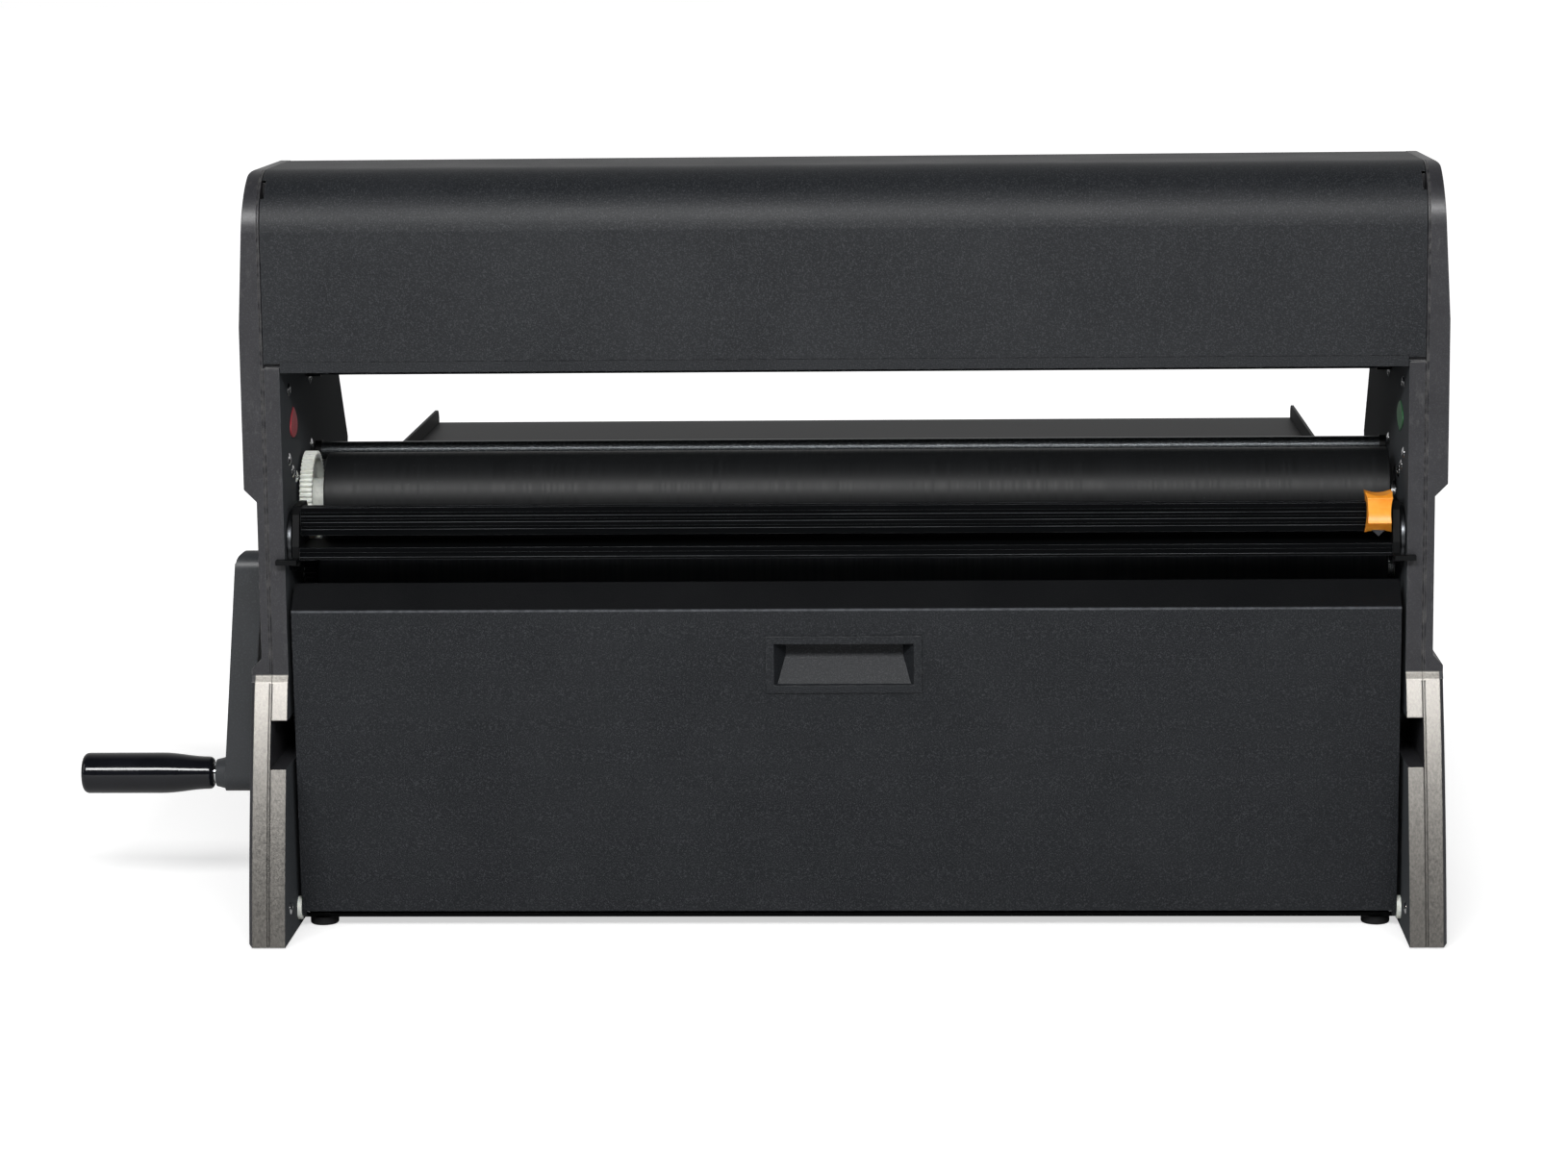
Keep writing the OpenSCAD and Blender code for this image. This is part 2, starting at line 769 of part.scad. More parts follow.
// Drop-front door over the lower film bay
module lower_door() {
    lap = 1.5;
    cup_x = cup_w / 2 - cup_rim + lap;
    cup_half_h = cup_h / 2 - cup_rim + lap;
    color(charcoal) placed() difference() {
        union() {
            difference() {
                along_x(-door_x, door_x) door_outline();
                along_x(-door_x + door_t, door_x - door_t) door_hollow();
            }
            // Ears round the hinge pins
            for (sx = [-1, 1]) {
                sided(sx) bar_x(door_x - door_t, door_x, door_pin_y, door_pin_z, 2 * door_ear_r);
            }
        }
        leaned() along_y(door_y - cut, door_y + door_t + cut)
            rect(-cup_x, cup_z - cup_half_h, cup_x, cup_z + cup_half_h);
        for (sx = [-1, 1]) {
            sided(sx) bar_x(door_x - door_t - 3, door_x + cut, door_pin_y, door_pin_z,
                            hinge_pin_d + 2 * run_fit);
        }
    }
}

// Recessed pull with a raised bezel; its floor is deepest at the top
module door_pull_cup() {
    proud = 1.2;
    wall = 1.3;
    x = cup_w / 2 - cup_rim;
    z = cup_h / 2 - cup_rim;
    y0 = door_y - proud;
    y1 = door_y + cup_depth;
    color(charcoal) placed() leaned() difference() {
        union() {
            along_y(y0, door_y) rect(-cup_w / 2, cup_z - cup_h / 2, cup_w / 2, cup_z + cup_h / 2);
            along_y(y0, y1) rect(-x - wall, cup_z - z - wall, x + wall, cup_z + z + wall);
        }
        intersection() {
            along_x(-x, x) polygon([[y0 - cut, cup_z - z], [door_y + 3, cup_z - z],
                [y1 - wall, cup_z + 4], [y1 - wall, cup_z + z], [y0 - cut, cup_z + z]]);
            // The side walls draw in towards the floor
            translate([0, 0, cup_z - cup_h]) linear_extrude(2 * cup_h) polygon(
                [[-x - cut, y0 - cut], [-x, y0], [-x + 8, y1], [x - 8, y1], [x, y0], [x + cut, y0 - cut]]);
        }
    }
}

// Pins of the door's hinge, fixed in the inner shells
module door_hinge_pins() {
    color(steel) placed() for (sx = [-1, 1]) {
        sided(sx) bar_x(door_x - door_t - 2, inner_x + pin_depth - 0.2, door_pin_y, door_pin_z,
                        hinge_pin_d);
    }
}

// White spacer washers between the door and the inner walls
module door_washers() {
    color(gear_white) placed() for (sx = [-1, 1]) {
        sided(sx) difference() {
            bar_x(door_x + 0.2, inner_x - 0.1, door_pin_y, door_pin_z, washer_d);
            bar_x(door_x, inner_x, door_pin_y, door_pin_z, hinge_pin_d + 2 * run_fit);
        }
    }
}

// Shaft of the upper roller; its ends run in the sprung bearing blocks
module upper_roller_shaft() {
    x = seam_x - 0.4;
    color(steel) placed() bar_x(-x, x, roller_y, upper_axis_z, shaft_d);
}

// Rubber roller face with slightly broken edges, bored for its shaft
module roller_sleeve(x0, x1, z, r) {
    edge = 0.8;
    translate([x0, roller_y, z]) rotate([0, 90, 0]) difference() {
        rotate_extrude() polygon([[0, 0], [r - edge, 0], [r, edge], [r, x1 - x0 - edge],
                                  [r - edge, x1 - x0], [0, x1 - x0]]);
        translate([0, 0, -cut]) cylinder(h = x1 - x0 + 2 * cut, d = shaft_d + 2 * seat_fit);
    }
}

module upper_roller_sleeve() {
    color(soft_black) placed()
        roller_sleeve(-sleeve_left_x, sleeve_right_x, upper_axis_z, upper_roller_r);
}

module lower_roller_sleeve() {
    color(soft_black) placed()
        roller_sleeve(-lower_sleeve_left_x, sleeve_right_x, lower_axis_z, lower_roller_r);
}

// Half the angle that a tooth takes up at radius r
function inv(a) = tan(a) * 180 / PI - a;
function half_tooth(teeth, r) =
    let (rp = gear_module * teeth / 2, rb = rp * cos(pressure_angle))
    90 / teeth - backlash / 4 / rp * 180 / PI + inv(pressure_angle) - (r > rb ? inv(acos(rb / r)) : 0);

// Involute gear outline with tooth 0 centred on +X
function gear_points(teeth) =
    let (rp = gear_module * teeth / 2, tip = rp + 0.95 * gear_module, root = rp - 1.2 * gear_module)
    let (steps = 4, radii = [for (i = [0:steps]) root + (tip - root) * i / steps])
    [for (k = [0:teeth - 1]) let (mid = 360 * k / teeth) each concat(
        [for (i = [0:steps]) let (a = mid - half_tooth(teeth, radii[i])) radii[i] * [cos(a), sin(a)]],
        [for (i = [steps:-1:0]) let (a = mid + half_tooth(teeth, radii[i])) radii[i] * [cos(a), sin(a)]])];

// White gear on the upper roller: toothed rim, thin web and a long hub
module upper_gear() {
    rim_r = gear_module * upper_teeth / 2 - 3.4;
    x1 = -gear_x + gear_w;
    color(gear_white) placed() translate([0, roller_y, upper_axis_z]) difference() {
        union() {
            along_x(-gear_x, x1) rotate(270 + 180 / upper_teeth) polygon(gear_points(upper_teeth));
            bar_x(-gear_x, x1 + hub_len, 0, 0, 2 * hub_r);
        }
        difference() {
            bar_x(-gear_x + web_t, x1 + cut, 0, 0, 2 * rim_r);
            bar_x(-gear_x, x1 + hub_len, 0, 0, 2 * hub_r);
        }
        bar_x(-gear_x - cut, x1 + hub_len + cut, 0, 0, shaft_d + 2 * seat_fit);
    }
}

// Pinion on the crank's shaft
module drive_pinion() {
    color(dark_grey) placed() translate([0, roller_y, lower_axis_z]) difference() {
        along_x(-gear_x, -gear_x + gear_w) rotate(90) polygon(gear_points(pinion_teeth));
        bar_x(-gear_x - cut, -gear_x + gear_w + cut, 0, 0, shaft_d + 2 * seat_fit);
    }
}

// Shaft of the lower roller; its left end carries the crank
module lower_roller_shaft() {
    color(steel) placed() difference() {
        bar_x(-shaft_end_x, seam_x - 0.4, roller_y, lower_axis_z, shaft_d);
        bar_x(-shaft_end_x - cut, -shaft_end_x + screw_shank_len + 2, roller_y, lower_axis_z,
              screw_shank_d + 2 * seat_fit);
    }
}

// Blocks that let the upper roller rise against its springs
module upper_bearings() {
    color(gear_white) placed() for (sx = [-1, 1]) {
        sided(sx) difference() {
            along_x(block_x, seam_x - 0.1) rect(
                roller_y - block_w / 2, upper_axis_z - block_w / 2,
                roller_y + block_w / 2, upper_axis_z + block_w / 2);
            bar_x(block_x - cut, seam_x + cut, roller_y, upper_axis_z, shaft_d + 2 * run_fit);
        }
    }
}

// Plain bushes of the lower roller, pressed into the inner shells
module lower_bearings() {
    color(gear_white) placed() for (sx = [-1, 1]) {
        sided(sx) difference() {
            bar_x(inner_x + 0.1, seam_x - 0.1, roller_y, lower_axis_z, bush_d);
            bar_x(inner_x - cut, seam_x + cut, roller_y, lower_axis_z, shaft_d + 2 * run_fit);
        }
    }
}

// Helical tube standing on z = 0, as rings joined by quads
module coil(r, wire_r, height, turns) {
    sides = 6;
    per_turn = 10;
    steps = turns * per_turn;
    ring = [for (i = [0:steps], j = [0:sides - 1])
        let (a = 360 * i / per_turn, b = 360 * j / sides)
        [(r + wire_r * cos(b)) * cos(a), (r + wire_r * cos(b)) * sin(a),
         wire_r + (height - 2 * wire_r) * i / steps + wire_r * sin(b)]];
    walls = [for (i = [0:steps - 1], j = [0:sides - 1])
        let (n = (j + 1) % sides, a = i * sides, b = (i + 1) * sides)
        each [[a + j, b + j, b + n], [a + j, b + n, a + n]]];
    first = [[for (j = [0:sides - 1]) j]];
    last = [[for (j = [sides - 1:-1:0]) steps * sides + j]];
    polyhedron(ring, concat(walls, first, last));
}

// Springs that press the upper roller down, in the pockets above its blocks
module pressure_springs() {
    z0 = upper_axis_z + block_w / 2 + part_gap;
    color(steel) placed() for (sx = [-1, 1]) {
        translate([sx * (block_x + block_t / 2), roller_y, z0])
            coil(block_t / 2 - spring_wire_r - 0.3, spring_wire_r,
                 pocket_top_z - part_gap - z0, spring_turns);
    }
}

// Ring between the left outer shell and the crank's arm
module crank_spacer() {
    d = shaft_d + 5;
    // The arm's inner face leans towards the ring above the axis
    lean = crank_lean / crank_r * d / 2;
    color(soft_black) placed() difference() {
        bar_x(-arm_face_x + lean + 0.1, -waist_x - part_gap, roller_y, lower_axis_z, d);
        bar_x(-arm_face_x, -waist_x, roller_y, lower_axis_z, shaft_d + 2 * seat_fit);
    }
}

// Side outline of the arm: two round ends joined by their tangents
module arm_outline() {
    t = acos((arm_hub_r - arm_tip_r) / crank_r);
    hub = [roller_y, lower_axis_z];
    tip = [roller_y, grip_z];
    side = [sin(t), -cos(t)];
    translate(hub) circle(r = arm_hub_r);
    translate(tip) circle(r = arm_tip_r);
    polygon([hub + arm_hub_r * side, tip + arm_tip_r * side,
             tip + arm_tip_r * [-side[0], side[1]], hub + arm_hub_r * [-side[0], side[1]]]);
}

// Cast crank arm that leans outwards and ends in a boss
module crank_arm() {
    lean = crank_lean / crank_r;
    top_z = lower_axis_z + arm_hub_r;
    low_z = grip_z - arm_tip_r;
    top_x = -arm_face_x + lean * arm_hub_r;
    low_x = -arm_end_x - lean * arm_tip_r;
    hub_end_x = -arm_face_x - arm_t + 1.5;
    edge = 7;
    color(dark_grey) placed() difference() {
        union() {
            intersection() {
                along_x(-boss_x - 10, -arm_face_x + 10) arm_outline();
                along_y(roller_y - 2 * arm_hub_r, roller_y + 2 * arm_hub_r) difference() {
                    polygon([[top_x, top_z], [low_x, low_z], [-boss_x - 1, low_z],
                             [hub_end_x, top_z]]);
                    corner_cut(hub_end_x, top_z, edge, 1, -1);
                }
            }
            translate([-boss_x + 2, roller_y, grip_z]) rotate([0, -90, 0])
                cylinder(h = boss_len + 2, r1 = boss_r, r2 = boss_end_r);
        }
        bar_x(-shaft_end_x - screw_head_t - 20, -shaft_end_x - 0.1, roller_y, lower_axis_z,
              screw_head_d + 1);
        bar_x(-shaft_end_x - cut, -arm_face_x + 10, roller_y, lower_axis_z, shaft_d + 2 * seat_fit);
        bar_x(-ferrule_x - cut, -arm_end_x - 4, roller_y, grip_z, spindle_d + 2 * seat_fit);
    }
}

// Socket screw that holds the arm on its shaft
module crank_screw() {
    head_x = -shaft_end_x - 0.2;
    socket_r = 3;
    color(steel) placed() difference() {
        union() {
            bar_x(head_x - screw_head_t, head_x, roller_y, lower_axis_z, screw_head_d);
            bar_x(head_x - cut, head_x + screw_shank_len, roller_y, lower_axis_z, screw_shank_d);
        }
        translate([head_x - screw_head_t - cut, roller_y, lower_axis_z]) rotate([0, 90, 0])
            cylinder(h = 3.5 + cut, r = socket_r, $fn = 6);
    }
}

// Spindle that the grip turns on, with its bright ferrule
module grip_spindle() {
    color(chrome_grey) placed() union() {
        bar_x(-grip_end_x + 6, -arm_end_x - 5, roller_y, grip_z, spindle_d);
        bar_x(-ferrule_x - ferrule_t, -ferrule_x - 0.1, roller_y, grip_z, ferrule_d);
    }
}

// Half section of the grip, its neck at height 0 and its domed end at the top
module grip_section() {
    neck_r = grip_neck_d / 2;
    full_r = grip_d / 2;
    dome = 4;
    taper_len = grip_len * 0.36;
    curve = [for (i = [0:8]) let (t = i / 8)
        [neck_r + (full_r - neck_r) * (1 - cos(180 * t)) / 2, 3 + taper_len * t]];
    polygon(concat([[0, 0]], arc([neck_r - 3, 3], 3, -90, 0, 4), curve,
        arc([full_r - dome, grip_len - dome - 1], dome, 0, 70, 5), [[0, grip_len]]));
}

// Loose grip on the spindle
module crank_grip() {
    color(deep_black) placed() translate([-grip_x, roller_y, grip_z]) rotate([0, -90, 0]) difference() {
        rotate_extrude() grip_section();
        translate([0, 0, -cut]) cylinder(h = grip_len - 5 + cut, d = spindle_d + 2 * run_fit);
    }
}

// Section of the cutter rail: ribbed front and a tee slot in its top
module rail_section() {
    rib_depth = 1.1;
    groove_h = [1.9, 2, 2.4];
    groove_z = [rail_z + 3.8, rail_z + 8.3, rail_z + 12.4];
    difference() {
        rect(rail_y, rail_z, rail_y + rail_depth, rail_top_z);
        for (i = [0:len(groove_z) - 1]) {
            rect(rail_y - cut, groove_z[i], rail_y + rib_depth, groove_z[i] + groove_h[i]);
        }
        rect(tee_y - tee_neck_w / 2, tee_floor_z, tee_y + tee_neck_w / 2, rail_top_z + cut);
        rect(tee_y - tee_w / 2, tee_floor_z, tee_y + tee_w / 2, tee_floor_z + tee_h);
    }
}

module cutter_rail() {
    color(deep_black) placed() along_x(-rail_end_x, rail_end_x) rail_section();
}

// Bed that the sheet leaves over, hollow below like an extrusion
module cutter_bed() {
    wall = 2.2;
    lip = 3;
    foot = 1.5;
    step = 0.8;
    color(deep_black) placed() along_x(-rail_end_x, rail_end_x) difference() {
        rect(bed_y, bed_z, bed_far_y, bed_top_z);
        rect(bed_y + wall, bed_z - cut, bed_far_y - wall, bed_top_z - wall);
        rect(bed_y - cut, bed_z + foot, bed_y + step, bed_top_z - lip);
        corner_cut(bed_far_y, bed_top_z, foot, -1, -1);
    }
}

// End plate of the cutter with the ear that reaches in front of the end frame
module cutter_bracket() {
    ear_t = 3;
    ear_z = bed_z - 1.5;
    ear_out_x = inner_x + 5;
    ear_y0 = front_y - 7.5;
    ear_y1 = front_y - 0.6;
    y1 = disc_y + disc_r + 2;
    hole_shift = 4;
    hole_d = 7;
    union() {
        along_x(bracket_x, bracket_x + bracket_t) difference() {
            polygon([[bed_y - 1, ear_z - 2.5], [y1, ear_z - 2.5], [y1, rail_top_z - 5],
                     [y1 - 6, rail_top_z + 1], [rail_y + 1, rail_top_z + 1],
                     [rail_y - 4, rail_top_z - 4], [bed_y - 1, bed_top_z + 1]]);
            translate([disc_y + hole_shift, disc_z + hole_shift]) circle(d = hole_d);
        }
        translate([bracket_x, ear_y0, ear_z]) cube([bracket_t, bed_y - ear_y0, ear_t]);
        translate([bracket_x, ear_y0, ear_z]) cube([ear_out_x - bracket_x, ear_y1 - ear_y0, ear_t]);
    }
}

module left_cutter_bracket() {
    color(deep_black) placed() sided(-1) cutter_bracket();
}

module right_cutter_bracket() {
    color(deep_black) placed() sided(1) cutter_bracket();
}

// Steel discs between the cutter's end plates and the inner walls
module cutter_discs() {
    x1 = inner_x - part_gap / 2;
    color(steel) placed() for (sx = [-1, 1]) {
        sided(sx) translate([x1 - disc_t, disc_y, disc_z]) rotate([0, 90, 0]) rotate_extrude()
            polygon([[0, 0], [disc_r - 0.6, 0], [disc_r, 0.6], [disc_r, disc_t - 0.6],
                     [disc_r - 0.6, disc_t], [0, disc_t]]);
    }
}

// Front outline of the slider: all four sides are drawn in
module slider_front() {
    side_sag = 1.5;
    end_sag = 1.8;
    w = slider_w / 2;
    h = slider_h / 2;
    side_r = (h * h + side_sag * side_sag) / (2 * side_sag);
    end_r = (w * w + end_sag * end_sag) / (2 * end_sag);
    translate([slider_x, slider_z + h]) difference() {
        square([slider_w, slider_h], center = true);
        for (s = [-1, 1]) {
            translate([s * (w + side_r - side_sag), 0]) circle(r = side_r, $fn = fine_fn);
            translate([0, s * (h + end_r - end_sag)]) circle(r = end_r, $fn = fine_fn);
        }
    }
}

// Side outline of the slider: slanted above and below its face, with a bridge over the rail
module slider_side() {
    back_y = rail_y - part_gap;
    low_z = slider_z - cut;
    top_z = slider_z + slider_h + cut;
    polygon([[slider_front_y, slider_face_z], [back_y, low_z], [back_y, bridge_z],
             [bridge_y, bridge_z], [bridge_y, top_z], [back_y, top_z],
             [slider_front_y, slider_face_z + slider_face_h]]);
}

// Orange slider: a hollow-faced pad in front of the rail and a bridge over it
module cutter_slider() {
    face_sag = 2;
    h = slider_face_h / 2;
    face_r = (h * h + face_sag * face_sag) / (2 * face_sag);
    color(slider_orange) placed() difference() {
        intersection() {
            along_x(slider_x - slider_w, slider_x + slider_w) slider_side();
            along_y(slider_front_y - cut, bridge_y + cut) slider_front();
        }
        translate([slider_x - slider_w, slider_front_y - face_r + face_sag, slider_face_z + h])
            rotate([0, 90, 0]) cylinder(h = 2 * slider_w, r = face_r, $fn = fine_fn);
        translate([slider_x - blade_half - blade_fit, blade_y - blade_fit, slider_z - cut])
            cube([2 * (blade_half + blade_fit), blade_t + 2 * blade_fit,
                  blade_top_z - slider_z + cut + part_gap]);
    }
}

// Shoe that runs in the rail's tee slot under the slider's bridge
module cutter_shoe() {
    fit = 0.3;
    half = slider_w / 2 - 2;
    color(soft_black) placed() along_x(slider_x - half, slider_x + half) union() {
        rect(tee_y - tee_neck_w / 2 + fit, tee_floor_z + fit, tee_y + tee_neck_w / 2 - fit, bridge_z);
        rect(tee_y - tee_w / 2 + fit, tee_floor_z + fit, tee_y + tee_w / 2 - fit,
             tee_floor_z + tee_h - fit);
    }
}

// Pointed blade under the slider
module cutter_blade() {
    color(steel) placed() along_y(blade_y, blade_y + blade_t) polygon([
        [slider_x - blade_half, blade_top_z], [slider_x - blade_half, blade_tip_z + blade_half],
        [slider_x, blade_tip_z], [slider_x + blade_half, blade_tip_z + blade_half],
        [slider_x + blade_half, blade_top_z]]);
}

module upper_rod() {
    x = inner_x - 2;
    color(chrome_grey) placed() bar_x(-x, x, upper_rod_y, upper_rod_z, rod_d);
}

module guide_rod() {
    x = inner_x - 1;
    color(soft_black) placed() bar_x(-x, x, guide_rod_y, guide_rod_z, rod_d);
}

// Black sockets at both ends of both rods
module rod_socket(y, z, depth) {
    x1 = inner_x - 0.1;
    floor_t = 0.7;
    difference() {
        bar_x(inner_x - depth, x1, y, z, rod_d + 2 * socket_wall);
        bar_x(inner_x - depth - cut, x1 - floor_t, y, z, rod_d + 2 * seat_fit);
    }
}

module rod_sockets() {
    color(soft_black) placed() for (sx = [-1, 1]) {
        sided(sx) rod_socket(upper_rod_y, upper_rod_z, upper_socket_len);
        sided(sx) rod_socket(guide_rod_y, guide_rod_z, guide_socket_len);
    }
}

// Domed cross-head screw with its head towards -X at x = 0
module cross_screw() {
    cross_w = 1.1;
    cross_len = 4.6;
    difference() {
        union() {
            intersection() {
                bar_x(-head_t, 0, 0, 0, head_d);
                translate([head_dome_r - head_t, 0, 0]) sphere(r = head_dome_r);
            }
            bar_x(-0.5, shank_len, 0, 0, shank_d);
        }
        translate([-head_t - cut, -cross_w / 2, -cross_len / 2]) cube([cut + 0.9, cross_w, cross_len]);
        translate([-head_t - cut, -cross_len / 2, -cross_w / 2]) cube([cut + 0.9, cross_len, cross_w]);
    }
}

// Screws on the inner walls
module wall_screws() {
    color(steel) placed() for (sx = [-1, 1], s = WALL_SCREWS) {
        sided(sx) translate([inner_x, s[0], s[1]]) cross_screw();
    }
}

// Outline of a film mark, rounded at one end or pointed at both
module film_mark(both_ends) {
    points = [for (i = [0:2:358]) let (s = sin(i), taper = both_ends ? abs(s) : sin(i / 2))
        [mark_y + mark_w / 2 * s * pow(taper, 0.8), mark_z + mark_h / 2 * cos(i)]];
    along_x(inner_x - mark_t, inner_x) polygon(points);
}

module left_film_mark() {
    color(mark_red) placed() sided(-1) film_mark(false);
}

module right_film_mark() {
    color(mark_green) placed() sided(1) film_mark(true);
}

// Fixed table that leads the sheet from the tray down to the nip
module feed_table() {
    x = inner_x - 0.2;
    bend_y = table_near_y + table_bend;
    near_z = nip_z + table_rise;
    bend_z = tray_z - 3;
    color(soft_black) placed() union() {
        along_x(-x, x) polygon([[table_near_y, near_z], [bend_y, bend_z], [table_far_y, tray_z],
            [table_far_y, tray_z - sheet_t], [bend_y, bend_z - sheet_t],
            [table_near_y, near_z - sheet_t]]);
        for (x0 = [-x, x - sheet_t]) {
            along_x(x0, x0 + sheet_t) polygon([[bend_y, bend_z - cut], [table_far_y, tray_z - cut],
                [table_far_y, tray_z - table_side_h], [bend_y, tray_z - table_side_h]]);
        }
    }
}

// Folding feed tray with turned-down edges
module feed_tray() {
    y0 = tray_pin_y;
    side = tray_half;
    z0 = tray_z - tray_edge_h;
    start_y = tray_pin_y + tray_tube_d / 2 + tray_hinge_gap;
    color(charcoal) placed() difference() {
        union() {
            translate([-side, y0, tray_z - sheet_t]) cube([2 * side, tray_far_y - y0, sheet_t]);
            for (x = [-side, side - sheet_t]) {
                translate([x, start_y, z0]) cube([sheet_t, tray_far_y - start_y, tray_z - z0]);
            }
            translate([-side, tray_far_y - sheet_t, z0]) cube([2 * side, sheet_t, tray_z - z0]);
        }
        bar_x(-side - cut, side + cut, tray_pin_y, tray_pin_z, tray_tube_d + 2 * seat_fit);
    }
}

// Tube along the tray's inner edge, bored for the hinge pins
module tray_hinge_tube() {
    x = inner_x - part_gap;
    color(dark_grey) placed() difference() {
        bar_x(-x, x, tray_pin_y, tray_pin_z, tray_tube_d);
        for (sx = [-1, 1]) {
            sided(sx) bar_x(x - 13, x + cut, tray_pin_y, tray_pin_z, hinge_pin_d + 2 * run_fit);
        }
    }
}

module tray_hinge_pins() {
    x = inner_x - part_gap;
    color(steel) placed() for (sx = [-1, 1]) {
        sided(sx) bar_x(x - 12.5, inner_x + pin_depth - 0.2, tray_pin_y, tray_pin_z, hinge_pin_d);
    }
}

// Side fence with a rounded far corner
module tray_fence() {
    start_y = tray_pin_y + 22;
    end_y = tray_far_y;
    r = 9;
    difference() {
        along_x(fence_x, fence_x + sheet_t) difference() {
            rect(start_y, fence_low_z, end_y, tray_z + fence_rise);
            corner_cut(end_y, tray_z + fence_rise, r, -1, -1);
            corner_cut(start_y, tray_z + fence_rise, r, 1, -1);
        }
        for (y = fence_screw_y) {
            bar_x(fence_x - cut, fence_x + sheet_t + cut, y, fence_screw_z, 2.5);
        }
    }
}

module left_tray_fence() {
    color(charcoal) placed() sided(-1) tray_fence();
}

module right_tray_fence() {
    color(charcoal) placed() sided(1) tray_fence();
}

// Small screws that hold the fences on the tray's edges
module fence_screws() {
    x = fence_x + sheet_t;
    color(steel) placed() for (sx = [-1, 1], y = fence_screw_y) {
        sided(sx) union() {
            bar_x(x + 0.05, x + 1.4, y, fence_screw_z, 5);
            bar_x(fence_x + 0.1, x + 0.5, y, fence_screw_z, 2.4);
        }
    }
}

left_outer_shell();
right_outer_shell();
left_inner_shell();
right_inner_shell();
base_plate();
feet();
rear_panel();
rear_cover();
top_cover();
cover_hinge_pins();
lower_door();
door_pull_cup();
door_hinge_pins();
door_washers();
upper_roller_shaft();
upper_roller_sleeve();
upper_gear();
lower_roller_shaft();
lower_roller_sleeve();
drive_pinion();
upper_bearings();
lower_bearings();
pressure_springs();
crank_spacer();
crank_arm();
crank_screw();
grip_spindle();
crank_grip();
cutter_rail();
cutter_bed();
left_cutter_bracket();
right_cutter_bracket();
cutter_discs();
cutter_slider();
cutter_shoe();
cutter_blade();
upper_rod();
guide_rod();
rod_sockets();
wall_screws();
left_film_mark();
right_film_mark();
feed_table();
feed_tray();
tray_hinge_tube();
tray_hinge_pins();
left_tray_fence();
right_tray_fence();
fence_screws();
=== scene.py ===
"""Looks of a wide hand-cranked cold laminator: camera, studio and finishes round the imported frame."""

import json
import math

import bpy
from mathutils import Matrix, Vector


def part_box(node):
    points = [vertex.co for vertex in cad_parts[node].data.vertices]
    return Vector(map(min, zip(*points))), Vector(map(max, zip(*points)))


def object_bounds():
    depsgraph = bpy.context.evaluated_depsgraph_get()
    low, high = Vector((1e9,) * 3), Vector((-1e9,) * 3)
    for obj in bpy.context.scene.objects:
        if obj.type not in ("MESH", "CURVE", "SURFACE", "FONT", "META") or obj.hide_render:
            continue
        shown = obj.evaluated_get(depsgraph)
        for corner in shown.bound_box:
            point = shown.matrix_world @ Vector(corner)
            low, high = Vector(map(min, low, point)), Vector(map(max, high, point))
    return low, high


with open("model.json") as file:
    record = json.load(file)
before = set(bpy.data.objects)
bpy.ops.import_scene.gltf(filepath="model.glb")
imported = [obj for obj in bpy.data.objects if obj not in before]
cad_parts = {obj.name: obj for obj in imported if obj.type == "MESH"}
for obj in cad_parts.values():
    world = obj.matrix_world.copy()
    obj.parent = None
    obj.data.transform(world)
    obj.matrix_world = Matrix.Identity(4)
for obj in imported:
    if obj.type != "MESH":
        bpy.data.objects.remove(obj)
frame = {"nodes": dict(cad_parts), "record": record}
cad_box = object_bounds()

MM = 0.001

# Camera, fitted to the photograph, whose frame is 1630 pixels wide
PHOTO_WIDTH = 1630
FOCAL_PIXELS = 4289
SENSOR_MM = 36
CAMERA_AT = Vector((0.13695, -2.8586, 0.6460))
CAMERA_YAW = math.radians(2.442)
CAMERA_PITCH = math.radians(9.078)
CAMERA_ROLL = math.radians(-0.625)
CLIP_END = 100

# Places in the row frame that finishes depend on
wall_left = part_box("left_inner_shell")[1].x
wall_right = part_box("right_inner_shell")[0].x
WALLS_MIDDLE = (wall_left + wall_right) / 2
WALLS_HALF = (wall_right - wall_left) / 2
DOOR_SLOPE = 16 * MM
DOOR_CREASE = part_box("lower_door")[1].z - DOOR_SLOPE
FRAME_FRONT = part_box("left_outer_shell")[0].y
FOOT_DEPTH = 50 * MM
FOOT_TOP = 169.5 * MM
LEDGE_LOW = 165.5 * MM
LEDGE_HALF = 377.8 * MM

# Most of a noise's values lie in this span
NOISE_SPAN = (0.3, 0.7)
BEVEL_SAMPLES = 6

# Floor: half its side, its two greys, and how white it shows beside the machine and further out
FLOOR_HALF = 30
FLOOR_GREYS = (0.60, 0.64)
FLOOR_GLOW_NEAR = 0.6
FLOOR_GLOW_FAR = 1.0
SHADOW_REACH = 0.18

# World's strength in front of the machine and behind it, for light and reflections
WORLD_FRONT = 0.02
WORLD_BACK = 0.6

# Lamps: name, place, width and height, watts
LAMPS = (
    ("front_box", (-0.15, -2.55, 1.62), (2.8, 0.5), 100),
    ("left_box", (-2.6, -0.9, 1.1), (1.0, 1.6), 8),
    ("right_box", (2.6, -0.9, 1.1), (1.0, 1.6), 8),
)
LAMPS_AIM = (0.06, -0.25, 0.3)


